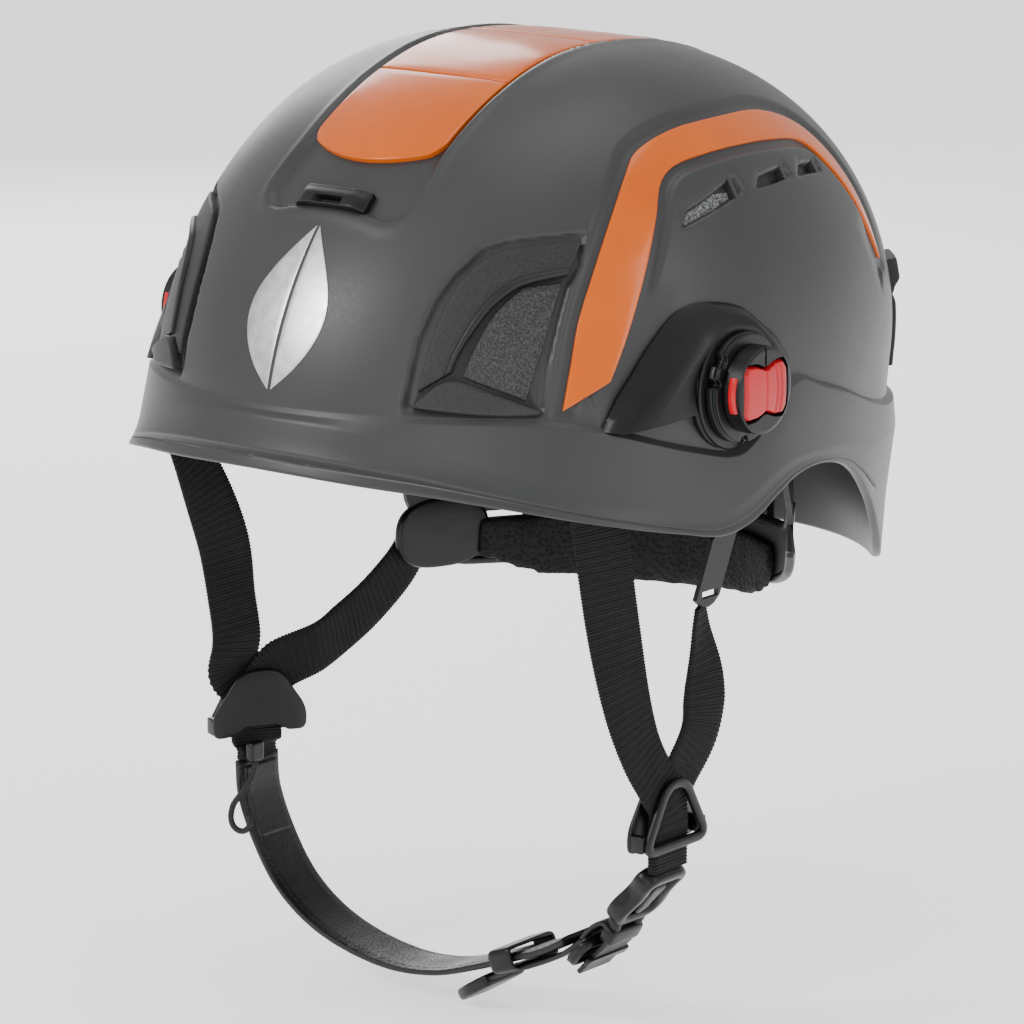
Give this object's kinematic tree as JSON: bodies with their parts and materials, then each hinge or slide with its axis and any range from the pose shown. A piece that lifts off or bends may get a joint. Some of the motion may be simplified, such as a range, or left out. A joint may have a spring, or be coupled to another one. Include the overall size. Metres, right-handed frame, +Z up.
{
  "type": "arborist helmet",
  "caption": "Arborist safety helmet with foam-lined shell, side accessory sockets with release buttons, lamp clips, dial-adjusted nape cradle and Y-strap chin harness with side-release buckle.",
  "frame": {"origin": "middle of the head on the shell's widest line, at the foot of the dome", "axes": "+Z up, -Y out of the wearer's forehead, +X to the wearer's left"},
  "size_m": [0.231, 0.2742, 0.3041],
  "materials": {
    "shell": "satin",
    "orange_plastic": "gloss",
    "red_plastic": "satin",
    "black_plastic": "satin",
    "textured_plastic": "matte",
    "badge": "satin",
    "screen": "matte",
    "foam": "matte",
    "padding": "matte",
    "webbing": "matte",
    "padded_strap": "matte",
    "elastic": "matte",
    "steel": "satin"
  },
  "bodies": {
    "helmet": {"outer_shell": "shell", "foam_liner": "foam", "crown_pad": "padding", "crest_front": "orange_plastic", "crest_middle": "orange_plastic", "crest_rear": "orange_plastic", "stripe_left": "orange_plastic", "stripe_right": "orange_plastic", "front_badge": "badge", "front_clip": "textured_plastic", "vent_screens": "screen", "lamp_clip_left": "textured_plastic", "lamp_clip_right": "textured_plastic", "rear_clip_left": "textured_plastic", "rear_clip_right": "textured_plastic", "socket_left": "black_plastic", "socket_right": "black_plastic", "bayonet_left": "black_plastic", "bayonet_right": "black_plastic", "headband": "textured_plastic", "hangers": "textured_plastic", "brow_pad": "padding", "cradle_pins": "steel", "strap_anchors": "textured_plastic", "front_strap_left": "webbing", "front_strap_right": "webbing", "rear_strap_left": "webbing", "rear_strap_right": "webbing", "strap_guide": "textured_plastic", "lower_web_left": "webbing", "lower_web_right": "webbing", "cord_tab": "textured_plastic", "cord_loop": "elastic", "chin_strap": "padded_strap", "end_tab": "black_plastic", "slide_bar": "black_plastic", "plug_loop": "padded_strap", "buckle_socket": "black_plastic"},
    "hub_left": {"hub_left": "black_plastic", "spring_left": "steel"},
    "hub_right": {"hub_right": "black_plastic", "spring_right": "steel"},
    "release_left": {"release_left": "red_plastic"},
    "release_right": {"release_right": "red_plastic"},
    "lamp_latch_left": {"lamp_latch_left": "textured_plastic"},
    "lamp_latch_right": {"lamp_latch_right": "textured_plastic"},
    "nape_cradle": {"nape_cradle": "textured_plastic", "nape_pad": "padding", "dial_housing": "textured_plastic"},
    "nape_dial": {"nape_dial": "textured_plastic"},
    "rack_left": {"rack_left": "textured_plastic"},
    "rack_right": {"rack_right": "textured_plastic"},
    "keeper": {"keeper": "black_plastic"},
    "slider_left": {"slider_left": "black_plastic"},
    "slider_right": {"slider_right": "black_plastic"},
    "buckle_plug": {"buckle_plug": "black_plastic"}
  },
  "joints": [
    {"name": "hub_turn_left", "type": "hinge", "parent": "helmet", "child": "hub_left", "pos_m": [0.1045, -0.02, 0.013], "axis": [1, 0, 0], "range_deg": [-45, 45]},
    {"name": "release_press_left", "type": "slide", "parent": "hub_left", "child": "release_left", "axis": [-1, 0, 0], "range_m": [0, 0.002], "stiffness_N_per_m": 600},
    {"name": "latch_lift_left", "type": "hinge", "parent": "helmet", "child": "lamp_latch_left", "pos_m": [0.068, -0.0693, 0.0482], "axis": [-0.619, -0.764, -0.182], "range_deg": [0, 8], "stiffness_Nm_per_rad": 1},
    {"name": "hub_turn_right", "type": "hinge", "parent": "helmet", "child": "hub_right", "pos_m": [-0.1045, -0.02, 0.013], "axis": [-1, 0, 0], "range_deg": [-45, 45]},
    {"name": "release_press_right", "type": "slide", "parent": "hub_right", "child": "release_right", "axis": [1, 0, 0], "range_m": [0, 0.002], "stiffness_N_per_m": 600},
    {"name": "latch_lift_right", "type": "hinge", "parent": "helmet", "child": "lamp_latch_right", "pos_m": [-0.068, -0.0693, 0.0482], "axis": [-0.619, 0.764, 0.182], "range_deg": [0, 8], "stiffness_Nm_per_rad": 1},
    {"name": "cradle_swing", "type": "hinge", "parent": "helmet", "child": "nape_cradle", "pos_m": [0, 0.04195, -0.008], "axis": [1, 0, 0], "range_deg": [-6, 8]},
    {"name": "dial_turn", "type": "hinge", "parent": "nape_cradle", "child": "nape_dial", "pos_m": [0, 0.115, -0.071], "axis": [0, 1, 0], "range_deg": [-60, 60]},
    {"name": "rack_slide_left", "type": "slide", "parent": "nape_cradle", "child": "rack_left", "axis": [1, 0, 0], "range_m": [-0.0064, 0.0064]},
    {"name": "rack_slide_right", "type": "slide", "parent": "nape_cradle", "child": "rack_right", "axis": [-1, 0, 0], "range_m": [-0.0064, 0.0064]},
    {"name": "keeper_slide", "type": "slide", "parent": "helmet", "child": "keeper", "axis": [0.9336, 0, 0.3584], "range_m": [0, 0.008]},
    {"name": "slider_move_left", "type": "slide", "parent": "helmet", "child": "slider_left", "axis": [0, 0, 1], "range_m": [0, 0.0025]},
    {"name": "slider_move_right", "type": "slide", "parent": "helmet", "child": "slider_right", "axis": [0, 0, 1], "range_m": [0, 0.0025]},
    {"name": "plug_release", "type": "slide", "parent": "helmet", "child": "buckle_plug", "axis": [-0.6613, 0, -0.7501], "range_m": [0, 0.008]}
  ],
  "couplings": [
    {"joint": "rack_slide_left", "follows": "dial_turn", "m_per_rad": 0.006},
    {"joint": "rack_slide_right", "follows": "dial_turn", "m_per_rad": 0.006}
  ]
}
